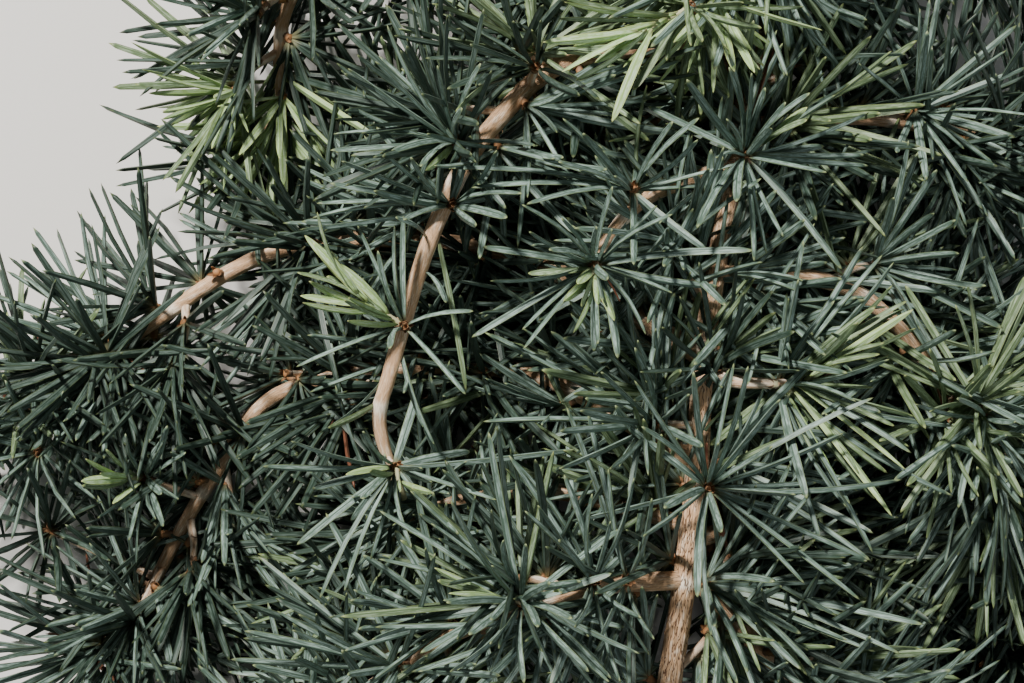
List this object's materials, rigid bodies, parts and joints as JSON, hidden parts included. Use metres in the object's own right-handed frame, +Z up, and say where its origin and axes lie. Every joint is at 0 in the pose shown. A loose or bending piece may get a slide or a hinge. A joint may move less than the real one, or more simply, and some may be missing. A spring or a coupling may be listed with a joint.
{
  "type": "cut cedar branch",
  "caption": "Cut branch of a blue-green cedar lying down: a woody stem with side shoots and thick masses of long needles, paler at the young tips.",
  "frame": {"origin": "on the surface the branch lies on, under the middle of its box", "axes": "+Z up, +Y along the stem from the saw cut to the drooping tip, +X to the right across the spray when it is seen from above with the tip away from the viewer"},
  "size_m": [0.2764, 0.3014, 0.1079],
  "materials": {
    "bark": "matt tan bark, ridged and split lengthwise",
    "needles": "waxy blue-green needles with pale bands, soft sheen",
    "young_needles": "pale yellow-green young needles, soft sheen"
  },
  "bodies": {
    "root": {"base_left_shoot": "bark", "base_right_shoot": "bark", "far_left_shoot": "bark", "far_lower_left_shoot": "bark", "hanging_shoot": "bark", "left_shoot": "bark", "lower_left_shoot": "bark", "lower_right_shoot": "bark", "main_stem": "bark", "middle_shoot": "bark", "needles_base_left": "needles", "needles_base_right": "needles", "needles_far_left": "needles", "needles_far_left_tip": "needles", "needles_far_lower_left": "needles", "needles_far_lower_left_tip": "needles", "needles_hanging": "needles", "needles_left_tip": "young_needles", "needles_left_upper": "needles", "needles_left_young": "young_needles", "needles_lower_left": "needles", "needles_lower_left_tip": "needles", "needles_lower_right": "needles", "needles_middle": "young_needles", "needles_right": "needles", "needles_right_spur": "young_needles", "needles_right_upper": "needles", "needles_star_spur": "needles", "needles_stem_tip": "needles", "needles_tip_left": "needles", "needles_tip_right": "needles", "needles_top": "young_needles", "needles_under_left": "needles", "needles_under_lower_right": "needles", "needles_under_right": "needles", "needles_under_upper_left": "needles", "needles_upper_left": "needles", "needles_upper_left_tip": "needles", "needles_upright": "needles", "right_shoot": "bark", "right_spur_shoot": "bark", "right_upper_shoot": "bark", "tip_left_shoot": "bark", "tip_right_shoot": "bark", "top_shoot": "bark", "under_left_shoot": "bark", "under_lower_right_shoot": "bark", "under_right_shoot": "bark", "under_upper_left_shoot": "bark", "upper_left_shoot": "bark", "upright_shoot": "bark"}
  },
  "joints": []
}
